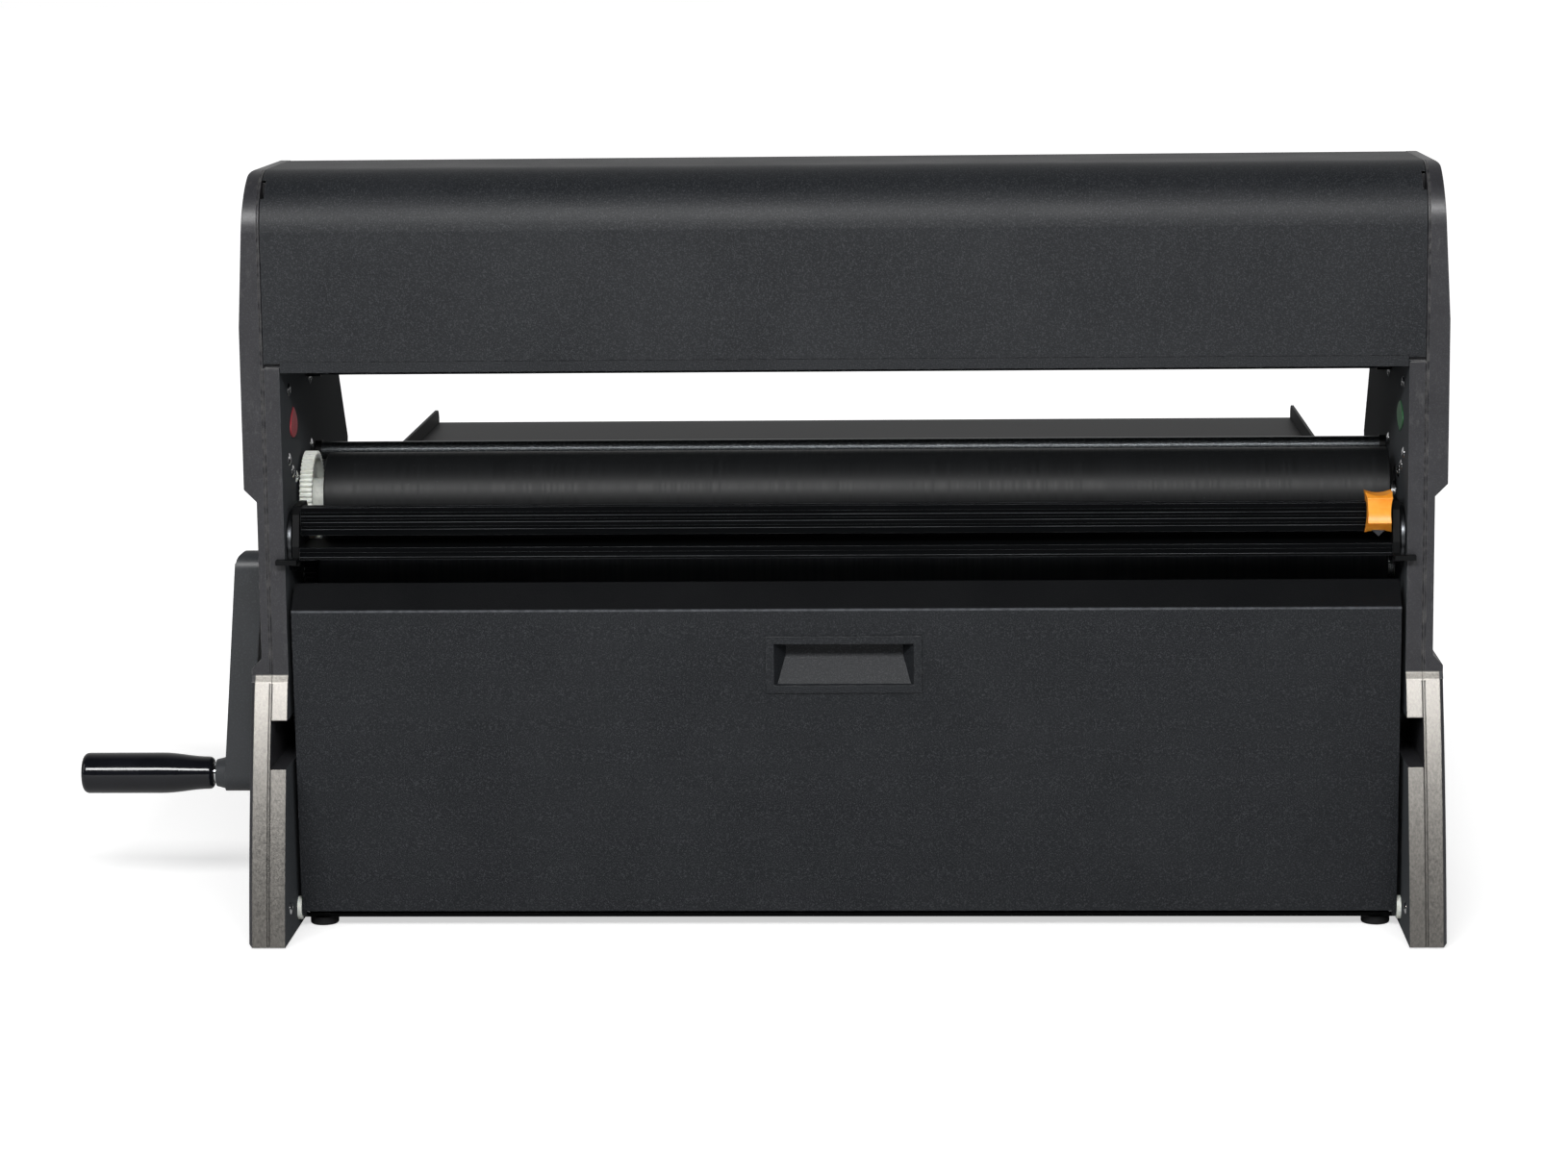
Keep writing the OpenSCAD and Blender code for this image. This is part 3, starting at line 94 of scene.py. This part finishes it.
def make_camera():
    """Camera at the photograph's angle; yaw turns it to the left and pitch turns it down."""
    forward = Vector((-math.sin(CAMERA_YAW) * math.cos(CAMERA_PITCH),
                      math.cos(CAMERA_YAW) * math.cos(CAMERA_PITCH), -math.sin(CAMERA_PITCH)))
    level = Vector((math.cos(CAMERA_YAW), math.sin(CAMERA_YAW), 0))
    upright = level.cross(forward)
    right = level * math.cos(CAMERA_ROLL) + upright * math.sin(CAMERA_ROLL)
    up = upright * math.cos(CAMERA_ROLL) - level * math.sin(CAMERA_ROLL)
    data = bpy.data.cameras.new("photo_camera")
    data.sensor_width = SENSOR_MM
    data.lens = FOCAL_PIXELS / PHOTO_WIDTH * SENSOR_MM
    data.clip_end = CLIP_END
    camera = bpy.data.objects.new("photo_camera", data)
    bpy.context.scene.collection.objects.link(camera)
    turn = Matrix((right, up, -forward)).transposed()
    camera.matrix_world = Matrix.Translation(CAMERA_AT) @ turn.to_4x4()
    bpy.context.scene.camera = camera


def srgb(code):
    """Linear colour of a hex code, opaque."""
    parts = [int(code[i:i + 2], 16) / 255 for i in (1, 3, 5)]
    return [c / 12.92 if c <= 0.04045 else ((c + 0.055) / 1.055) ** 2.4 for c in parts] + [1.0]


def darker(colour, share):
    """The colour with its three channels scaled by a share."""
    return [c * share for c in colour[:3]] + [1.0]


class Paint:
    """A node material under construction; most methods add nodes and return their output."""

    def __init__(self, name, roughness, metallic=0.0, **sockets):
        self.material = bpy.data.materials.new(name)
        self.material.use_nodes = True
        self.tree = self.material.node_tree
        self.shader = self.tree.nodes["Principled BSDF"]
        self.shader.inputs["Roughness"].default_value = roughness
        self.shader.inputs["Metallic"].default_value = metallic
        for socket, value in sockets.items():
            self.shader.inputs[socket.replace("_", " ")].default_value = value
        self.place = self.node("TexCoord").outputs["Object"]

    def join(self, socket, value):
        """Links an output to an input socket, or sets the socket to a constant."""
        if isinstance(value, bpy.types.NodeSocket):
            self.tree.links.new(value, socket)
        else:
            socket.default_value = value

    def set(self, name, value):
        """Joins a value to a socket of the shader."""
        self.join(self.shader.inputs[name], value)

    def colour(self, value):
        self.set("Base Color", value)

    def node(self, kind, values=None, **settings):
        """Adds a node, with its settings, and with its inputs set or linked."""
        made = self.tree.nodes.new("ShaderNode" + kind)
        for name, value in settings.items():
            setattr(made, name, value)
        for key, value in (values or {}).items():
            self.join(made.inputs[key], value)
        return made

    def math(self, operation, a, b=0.0, clamp=False):
        return self.node("Math", {0: a, 1: b}, operation=operation, use_clamp=clamp).outputs[0]

    def times(self, a, b):
        return self.math("MULTIPLY", a, b)

    def distance(self, a, b):
        """How far a is from b, either way."""
        return self.math("ABSOLUTE", self.math("SUBTRACT", a, b))

    def noise(self, size, detail=2.0, stretch=(1, 1, 1), roughness=0.5):
        """Noise whose features are about size metres across, drawn out along an axis by stretch."""
        place = self.node("Mapping", {"Vector": self.place, "Scale": [1 / s for s in stretch]})
        return self.node("TexNoise", {
            "Vector": place.outputs[0], "Scale": 1 / size, "Detail": detail,
            "Roughness": roughness}).outputs["Fac"]

    def ramp(self, value, low, high, to_low=0.0, to_high=1.0):
        """Maps value from low..high to to_low..to_high and holds it there."""
        return self.node("MapRange", {
            "Value": value, "From Min": low, "From Max": high,
            "To Min": to_low, "To Max": to_high}, clamp=True).outputs[0]

    def spread(self, noise, to_low=0.0, to_high=1.0):
        """Maps most of a noise's values to to_low..to_high."""
        return self.ramp(noise, *NOISE_SPAN, to_low, to_high)

    def mix(self, share, a, b):
        """Colour a where share is 0 and colour b where it is 1."""
        made = self.node("Mix", data_type="RGBA")
        for socket, value in ((0, share), (6, a), (7, b)):
            self.join(made.inputs[socket], value)
        return made.outputs[2]

    def mottle(self, noise, a, b):
        """Two hex colours blended by a noise."""
        return self.mix(self.spread(noise), srgb(a), srgb(b))

    def axis(self, name):
        """One coordinate of the surface point, in metres in the row frame."""
        return self.node("SeparateXYZ", {0: self.place}).outputs[name]

    def bevelled(self, radius):
        """Normal over edges rounded by a radius."""
        return self.node("Bevel", {"Radius": radius}, samples=BEVEL_SAMPLES).outputs[0]

    def edges(self, radius, sharpness=6.0):
        """About 1 on edges sharper than the radius, 0 on open faces."""
        true = self.node("NewGeometry").outputs["True Normal"]
        same = self.node("VectorMath", {0: self.bevelled(radius), 1: true}, operation="DOT_PRODUCT")
        bend = self.math("SUBTRACT", 1.0, same.outputs["Value"])
        return self.math("MULTIPLY", bend, sharpness, clamp=True)

    def wear_and_highlight(self, edges, patches, low, high, least, most):
        """Scales a mask of edge wear, and of the door crease's painted highlight, from least to most as
        the patches' noise goes from low to high.
        """
        return self.times(edges, self.ramp(patches, low, high, least, most))

    def relief(self, height, depth, edge):
        """Bumps of the given depth in metres, over edges rounded by a radius."""
        bump = self.node("Bump", {
            "Height": height, "Distance": depth, "Strength": 1.0, "Normal": self.bevelled(edge)})
        self.set("Normal", bump.outputs[0])


def moulded(name, dark, light, roughness, grain=0.85 * MM, depth=0.15 * MM, edge=0.6 * MM, gloss=0.21):
    """Grained plastic: fine pebbles with pale tips, mottled colour and rubbed edges."""
    paint = Paint(name, roughness, Specular_IOR_Level=gloss)
    pebbles = paint.noise(grain, detail=2.0, roughness=0.6)
    cloud = paint.noise(60 * MM, detail=3)
    body = paint.mottle(cloud, dark, light)
    body = paint.mix(paint.ramp(pebbles, 0.50, 0.72, 0, 0.55), body, srgb("#434548"))
    rubbed = paint.wear_and_highlight(paint.edges(edge), paint.noise(6 * MM), 0.45, 0.65, 0, 0.35)
    paint.body = paint.mix(rubbed, body, srgb("#77787A"))
    paint.colour(paint.body)
    paint.set("Roughness", paint.spread(cloud, roughness - 0.03, roughness + 0.04))
    paint.relief(pebbles, depth, edge)
    return paint


def door_paint():
    """The covers' grain, with a painted highlight along the crease and painted shade on the door's
    sloping top above it.
    """
    paint = moulded("door_grain", "#17191C", "#1B1D20", 0.46, gloss=0.19)
    height = paint.axis("Z")
    # Painted shade: the sloping top above the crease is painted near black.
    slope_shade = paint.ramp(height, DOOR_CREASE + 0.3 * MM, DOOR_CREASE + 0.9 * MM)
    # Painted highlight: a pale line along the crease, patchy along its length.
    crease_highlight = paint.ramp(paint.distance(height, DOOR_CREASE), 0.3 * MM, 1.0 * MM, 1, 0)
    crease_highlight = paint.wear_and_highlight(crease_highlight, paint.noise(5 * MM), 0.35, 0.6, 0.5, 1)
    paint.colour(paint.mix(crease_highlight, paint.mix(slope_shade, paint.body, srgb("#08090B")), srgb("#4A4C50")))
    return paint


def shell_paint():
    """End frames: grey castings with fine grain, black inner walls, and a painted highlight on the
    feet's curved fronts.
    """
    paint = Paint("shell_grain", 0.34, Specular_IOR_Level=0.4)
    pebbles = paint.noise(0.8 * MM, detail=2.0, roughness=0.6)
    cloud = paint.noise(26 * MM, detail=4, roughness=0.6)
    scuffs = paint.noise(1.3 * MM, detail=3, stretch=(1, 1, 1.6), roughness=0.7)
    smear = paint.noise(9 * MM, detail=4, stretch=(1, 1, 3), roughness=0.7)
    body = paint.mottle(cloud, "#262629", "#2E2E31")
    body = paint.mix(paint.ramp(pebbles, 0.5, 0.75, 0, 0.35), body, srgb("#505053"))
    body = paint.mix(paint.ramp(smear, 0.58, 0.78, 0, 0.22), body, srgb("#7C7B79"))

    # Painted highlight: where they face forward, the curved fronts of the feet are painted a paler,
    # speckled grey and made half metallic, for the front lamp's sheen
    across = paint.distance(paint.axis("X"), WALLS_MIDDLE)
    height = paint.axis("Z")
    facing = paint.node("SeparateXYZ", {0: paint.node("NewGeometry").outputs["Normal"]})
    low = paint.ramp(height, FOOT_TOP - 0.5 * MM, FOOT_TOP + 1.0 * MM, 1, 0)
    foot_back = FRAME_FRONT + FOOT_DEPTH
    near = paint.ramp(paint.axis("Y"), foot_back, foot_back + 6 * MM, 1, 0)
    faces_front = paint.ramp(facing.outputs["Y"], -0.80, -0.70, 1, 0)
    foot = paint.times(paint.times(low, near), faces_front)

    # The ledge on top of them gets the brightest painted highlight, but not where it stands out
    # sideways
    ledge = paint.ramp(height, LEDGE_LOW - 0.3 * MM, LEDGE_LOW + 0.3 * MM)
    ledge_end = paint.times(ledge, paint.ramp(across, LEDGE_HALF - 0.6 * MM, LEDGE_HALF))
    foot = paint.times(foot, paint.math("SUBTRACT", 1.0, ledge_end))
    foot_highlight_grey = paint.mix(ledge, srgb("#7F7C77"), srgb("#B3AFA8"))
    body = paint.mix(paint.times(foot, paint.spread(scuffs, 0.55, 0.95)), body, foot_highlight_grey)
    rubbed = paint.wear_and_highlight(paint.edges(0.8 * MM), paint.noise(5 * MM), 0.4, 0.65, 0, 0.5)
    body = paint.mix(rubbed, body, srgb("#8C8B88"))

    # The walls between the frames are plain matt black
    inner = paint.ramp(across, WALLS_HALF + 0.05 * MM, WALLS_HALF + 0.25 * MM, 1, 0)
    paint.colour(paint.mix(inner, body, srgb("#2E3236")))
    paint.set("Metallic", paint.times(foot, 0.75))
    matt = paint.ramp(inner, 0, 1, 0, 0.85)
    paint.set("Roughness", paint.math("MAXIMUM", paint.spread(scuffs, 0.30, 0.40), matt))
    paint.relief(pebbles, 0.05 * MM, 0.9 * MM)
    return paint


def sheet_paint(name, dark, light, gloss):
    """Painted sheet metal with a fine orange peel."""
    paint = Paint(name, 0.5, Specular_IOR_Level=gloss)
    rubbed = paint.wear_and_highlight(paint.edges(0.4 * MM), paint.noise(4 * MM), 0.4, 0.6, 0.1, 0.6)
    body = paint.mottle(paint.noise(80 * MM), dark, light)
    paint.colour(paint.mix(rubbed, body, srgb("#6E6E6C")))
    paint.relief(paint.noise(1.2 * MM), 0.03 * MM, 0.4 * MM)
    return paint


def rubber(name, tone, roughness):
    """Ground rubber with faint rings round the roller and a little dust."""
    paint = Paint(name, roughness, Specular_IOR_Level=0.22)
    rings = paint.noise(1.4 * MM, detail=3, stretch=(1, 60, 60))
    dust = paint.noise(1.6 * MM, detail=1)
    body = paint.mix(paint.spread(rings, 0, 0.25), srgb(tone), srgb("#1C1E20"))
    paint.colour(paint.mix(paint.ramp(dust, 0.74, 0.8, 0, 0.2), body, srgb("#4C4E50")))
    paint.set("Roughness", paint.spread(rings, roughness - 0.04, roughness + 0.05))
    paint.relief(paint.noise(0.5 * MM, detail=1), 0.015 * MM, 0.4 * MM)
    return paint


def metal(name, tone, roughness, stretch, edge=0.25 * MM, streak=0.10):
    """Bright metal with fine drawn or turned lines."""
    paint = Paint(name, roughness, metallic=1.0)
    lines = paint.noise(0.6 * MM, detail=3, stretch=stretch)
    paint.colour(paint.mix(paint.spread(lines), srgb(tone), darker(srgb(tone), 0.8)))
    smoothest = max(roughness - streak / 2, 0.03)
    paint.set("Roughness", paint.spread(lines, smoothest, roughness + streak))
    paint.relief(lines, 0.004 * MM, edge)
    return paint


def dark_rod_paint():
    """Guide rod: blackened satin metal with fine specks, painted pale as the glints of its sparkling
    highlight.
    """
    paint = Paint("blackened_rod", 0.34, metallic=0.9)
    specks = paint.noise(0.7 * MM, stretch=(2.5, 1, 1))
    paint.colour(paint.mix(paint.ramp(specks, 0.5, 0.7, 0, 0.5), srgb("#5E6265"), srgb("#A9ABAD")))
    paint.set("Roughness", paint.ramp(specks, 0.4, 0.7, 0.30, 0.44))
    paint.relief(specks, 0.004 * MM, 0.3 * MM)
    return paint


def gear_paint():
    """Off-white nylon with a trace of grease and dust in patches."""
    paint = Paint("white_nylon", 0.42, Subsurface_Weight=0.08)
    paint.set("Subsurface Radius", (0.004, 0.003, 0.002))
    body = paint.mottle(paint.noise(7 * MM, detail=3), "#EEF1EA", "#DDDFD8")
    grime = paint.ramp(paint.noise(2.5 * MM, detail=3), 0.55, 0.75, 0, 0.35)
    paint.colour(paint.mix(grime, body, srgb("#A3A49C")))
    paint.relief(paint.noise(0.8 * MM), 0.02 * MM, 0.25 * MM)
    return paint


def orange_paint():
    """Bright moulded plastic of the cutter's slider."""
    paint = Paint("orange_plastic", 0.36, Subsurface_Weight=0.12)
    paint.set("Subsurface Radius", (0.003, 0.0015, 0.0006))
    body = paint.mottle(paint.noise(9 * MM), "#F59422", "#FCA53A")
    rubbed = paint.times(paint.edges(0.6 * MM), 0.35)
    paint.colour(paint.mix(rubbed, body, srgb("#FFC266")))
    paint.relief(paint.noise(0.5 * MM), 0.02 * MM, 0.7 * MM)
    return paint


def plain_gloss(name, tone, other, roughness, edge, gloss=0.5):
    """Smooth plastic or enamel with a faint swirl in its colour and gloss."""
    paint = Paint(name, roughness, Specular_IOR_Level=gloss)
    swirl = paint.noise(18 * MM, detail=3)
    paint.colour(paint.mottle(swirl, tone, other))
    paint.set("Roughness", paint.spread(swirl, roughness, roughness + 0.06))
    paint.relief(paint.noise(2.5 * MM), 0.008 * MM, edge)
    return paint


def anodised_paint():
    """Black anodised extrusion: fine drawn lines and bright rubbed arrises."""
    paint = Paint("black_anodised", 0.42, Specular_IOR_Level=0.02)
    lines = paint.noise(0.5 * MM, detail=3, stretch=(90, 1, 1))
    patches = paint.noise(9 * MM, detail=3, stretch=(8, 1, 1))
    rubbed = paint.wear_and_highlight(paint.edges(0.22 * MM, 8), patches, 0.3, 0.6, 0.2, 0.6)
    paint.colour(paint.mix(rubbed, paint.mottle(lines, "#040506", "#08090A"), srgb("#8A8C90")))
    paint.relief(lines, 0.01 * MM, 0.35 * MM)
    return paint


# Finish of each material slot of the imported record
FINISHES = {
    "shell": shell_paint(),
    "charcoal": moulded("charcoal_grain", "#181A1D", "#1C1E21", 0.46),
    "tray_paint": sheet_paint("tray_paint", "#1E2022", "#242628", 0.12),
    "black_sheet": sheet_paint("black_sheet", "#0C0D0E", "#111214", 0.08),
    "black_rubber": rubber("foot_rubber", "#131314", 0.72),
    "roller_rubber": rubber("roller_rubber", "#0F1011", 0.47),
    "steel": metal("turned_steel", "#B4B6B8", 0.24, (1, 8, 8)),
    "bright_screws": metal("zinc_plate", "#D2D3D4", 0.14, (1, 1, 1), edge=0.2 * MM, streak=0.06),
    "chrome": metal("chrome_plate", "#D9DBDD", 0.07, (40, 1, 1), streak=0.05),
    "dark_rod": dark_rod_paint(),
    "white_plastic": gear_paint(),
    "dark_plastic": plain_gloss("dark_plastic", "#111214", "#17181A", 0.38, 0.4 * MM, gloss=0.3),
    "crank_paint": moulded("crank_enamel", "#313335", "#393B3E", 0.38, grain=1.2 * MM,
                           depth=0.03 * MM, edge=1.2 * MM, gloss=0.35),
    "grip_black": plain_gloss("grip_gloss", "#0D0E12", "#121318", 0.08, 0.8 * MM),
    "black_anodised": anodised_paint(),
    "orange_plastic": orange_paint(),
    "red_mark": plain_gloss("red_enamel", "#B5343F", "#AB2F3B", 0.30, 0.2 * MM),
    "green_mark": plain_gloss("green_enamel", "#2F6B41", "#2A6239", 0.30, 0.2 * MM),
}

bracket_paint = plain_gloss("bracket_black", "#08090A", "#0C0D0E", 0.55, 0.4 * MM, gloss=0.1)

# Nodes whose finish differs from that of their slot
OWN_FINISHES = {
    "lower_door": door_paint(),
    # The lower roller's rubber is painted a lighter grey than the upper one's: painted light for the
    # dim highlight along it in the shade under the bed.
    "lower_roller_sleeve": rubber("lower_roller_rubber_painted_light", "#5A5D62", 0.5),
    "left_cutter_bracket": bracket_paint,
    "right_cutter_bracket": bracket_paint,
    # The cutter's discs are a dark copy of the turned steel: painted shade for the shadow they sit in.
    "cutter_discs": metal("disc_steel_painted_shade", "#57595C", 0.30, (1, 8, 8)),
    "cutter_blade": metal("blade_steel", "#4C4D50", 0.30, (1, 1, 6)),
}


def paint_nodes():
    """Gives each CAD node its own finish or that of its slot."""
    for part in frame["record"]["subparts"]:
        data = frame["nodes"][part["node"]].data
        data.materials.clear()
        finish = OWN_FINISHES.get(part["node"]) or FINISHES[part["material_slot"]]
        data.materials.append(finish.material)


def make_floor():
    """Pale floor that shows near white to the camera and keeps the soft shadow."""
    corners = [(x * FLOOR_HALF, y * FLOOR_HALF, 0) for x, y in ((-1, -1), (1, -1), (1, 1), (-1, 1))]
    mesh = bpy.data.meshes.new("floor")
    mesh.from_pydata(corners, [], [(0, 1, 2, 3)])
    floor = bpy.data.objects.new("floor", mesh)
    bpy.context.scene.collection.objects.link(floor)
    paint = Paint("floor_paper", 0.9)
    greys = [(grey, grey, grey, 1) for grey in FLOOR_GREYS]
    paint.colour(paint.mix(paint.spread(paint.noise(0.6)), *greys))
    # Brighter away from the machine's footprint, so that only the shadow at its feet stays
    beyond = [paint.math("SUBTRACT", paint.math("ABSOLUTE", paint.axis(name)), half)
              for name, half in (("X", cad_box[1].x), ("Y", cad_box[1].y))]
    glow = paint.ramp(paint.math("MAXIMUM", *beyond), 0, SHADOW_REACH, FLOOR_GLOW_NEAR, FLOOR_GLOW_FAR)
    seen = paint.node("LightPath").outputs["Is Camera Ray"]
    paint.set("Emission Color", (1, 1, 1, 1))
    paint.set("Emission Strength", paint.times(seen, glow))
    mesh.materials.append(paint.material)


def make_world():
    """White for the camera; for everything else bright behind the machine and dim in front of it."""
    world = bpy.data.worlds.new("studio")
    bpy.context.scene.world = world
    world.use_nodes = True
    nodes = world.node_tree.nodes
    links = world.node_tree.links
    place = nodes.new("ShaderNodeTexCoord")
    split = nodes.new("ShaderNodeSeparateXYZ")
    links.new(place.outputs["Generated"], split.inputs[0])
    fade = nodes.new("ShaderNodeMapRange")
    links.new(split.outputs["Y"], fade.inputs["Value"])
    fade.inputs["From Min"].default_value = 0.1
    fade.inputs["From Max"].default_value = 0.9
    fade.inputs["To Min"].default_value = WORLD_FRONT
    fade.inputs["To Max"].default_value = WORLD_BACK
    path = nodes.new("ShaderNodeLightPath")
    most = nodes.new("ShaderNodeMath")
    most.operation = "MAXIMUM"
    links.new(fade.outputs[0], most.inputs[0])
    links.new(path.outputs["Is Camera Ray"], most.inputs[1])
    background = nodes["Background"]
    background.inputs["Color"].default_value = (1, 1, 1, 1)
    links.new(most.outputs[0], background.inputs["Strength"])


def make_lamps():
    """Wide, low front box above the camera and two weak side boxes; nothing overhead."""
    for name, place, size, watts in LAMPS:
        data = bpy.data.lights.new(name, "AREA")
        data.shape = "RECTANGLE"
        data.size, data.size_y = size
        data.energy = watts
        lamp = bpy.data.objects.new(name, data)
        bpy.context.scene.collection.objects.link(lamp)
        facing = (Vector(LAMPS_AIM) - Vector(place)).to_track_quat("-Z", "Y")
        lamp.matrix_world = Matrix.Translation(place) @ facing.to_matrix().to_4x4()


make_camera()
paint_nodes()
make_floor()
make_world()
make_lamps()
bpy.context.scene.view_settings.view_transform = "Standard"
